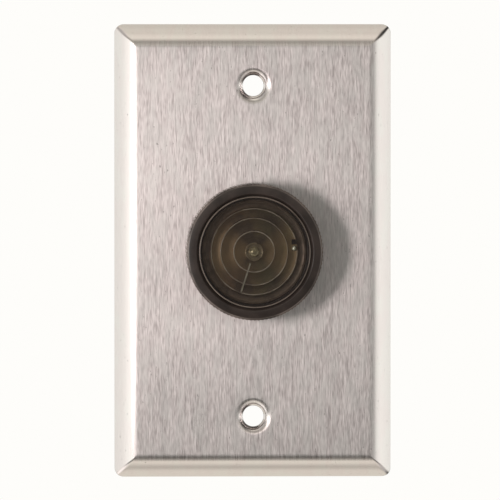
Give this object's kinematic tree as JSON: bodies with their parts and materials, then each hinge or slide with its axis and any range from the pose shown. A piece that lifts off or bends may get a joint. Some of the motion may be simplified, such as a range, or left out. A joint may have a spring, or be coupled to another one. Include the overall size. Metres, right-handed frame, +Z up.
{
  "type": "rotary selector switch",
  "caption": "Stainless single-gang wall plate with a round smoke-brown knurled selector knob, pointer line behind a ringed lens, and two contact blocks at the rear.",
  "frame": {"origin": "on the wall plane at the plate's rim, on the selector's axis, which is the plate's centre", "axes": "front faces -Y, +Y goes into the wall, +X is right seen from the front, +Z is up"},
  "size_m": [0.0698, 0.0552, 0.1142],
  "materials": {
    "plate_steel": "stainless, brushed along its height",
    "seal_rubber": "moulded black rubber",
    "operator_zinc": "die-cast, dark satin coat",
    "plated_steel": "bright zinc plate",
    "knob_smoke": "dark smoke brown, moulded knurl",
    "lens_smoke": "clear smoke, polished front",
    "index_gilt": "gold anodised, turned rings",
    "pointer_ivory": "pale enamel",
    "brass": "turned, bright",
    "hard_steel": "polished steel",
    "acetal_white": "natural acetal",
    "contact_green": "moulded green",
    "carrier_grey": "glass-filled nylon",
    "housing_black": "spark-textured moulding",
    "cover_clear": "clear polycarbonate",
    "copper": "stamped copper",
    "contact_silver": "silver alloy"
  },
  "bodies": {
    "switch_body": {"wall_plate": "plate_steel", "panel_gasket": "seal_rubber", "operator_body": "operator_zinc", "shaft_seal": "seal_rubber", "lock_washer": "plated_steel", "ring_nut": "plated_steel", "rod_guide": "acetal_white", "block_carrier": "carrier_grey", "carrier_screw": "plated_steel", "block_screws": "plated_steel", "block_housing_right": "housing_black", "block_cover_right": "cover_clear", "return_spring_right": "hard_steel", "terminals_right": "brass", "fixed_tips_right": "contact_silver", "terminal_screws_right": "plated_steel", "wire_clamps_right": "plated_steel", "block_housing_left": "housing_black", "block_cover_left": "cover_clear", "return_spring_left": "hard_steel", "terminals_left": "brass", "fixed_tips_left": "contact_silver", "terminal_screws_left": "plated_steel", "wire_clamps_left": "plated_steel"},
    "knob": {"knob_collar": "knob_smoke", "lens": "lens_smoke", "index_disc": "index_gilt", "pointer_line": "pointer_ivory", "index_pin": "brass", "hub_insert": "brass", "knob_screw": "plated_steel", "screw_cap": "brass", "shaft": "hard_steel", "rotor_cam": "acetal_white", "rotor_screw": "plated_steel", "detent_balls": "hard_steel", "detent_springs": "hard_steel"},
    "right_contact": {"push_rod_right": "contact_green", "plunger_right": "contact_green", "bridge_right": "copper", "bridge_tips_right": "contact_silver"},
    "left_contact": {"push_rod_left": "contact_green", "plunger_left": "contact_green", "bridge_left": "copper", "bridge_tips_left": "contact_silver"}
  },
  "joints": [
    {"name": "knob_turn", "type": "hinge", "parent": "switch_body", "child": "knob", "pos_m": [0, 0, 0], "axis": [0, 1, 0], "range_deg": [0, 90]},
    {"name": "right_contact_travel", "type": "slide", "parent": "switch_body", "child": "right_contact", "axis": [0, 1, 0], "range_m": [0, 0.003], "deforming": ["return_spring_right"]},
    {"name": "left_contact_travel", "type": "slide", "parent": "switch_body", "child": "left_contact", "axis": [0, 1, 0], "range_m": [0, 0.003], "deforming": ["return_spring_left"]}
  ],
  "couplings": [
    {"joint": "right_contact_travel", "follows": "knob_turn", "m_per_rad": 0.0019099},
    {"joint": "left_contact_travel", "follows": "knob_turn", "m_per_rad": 0.0019099}
  ]
}
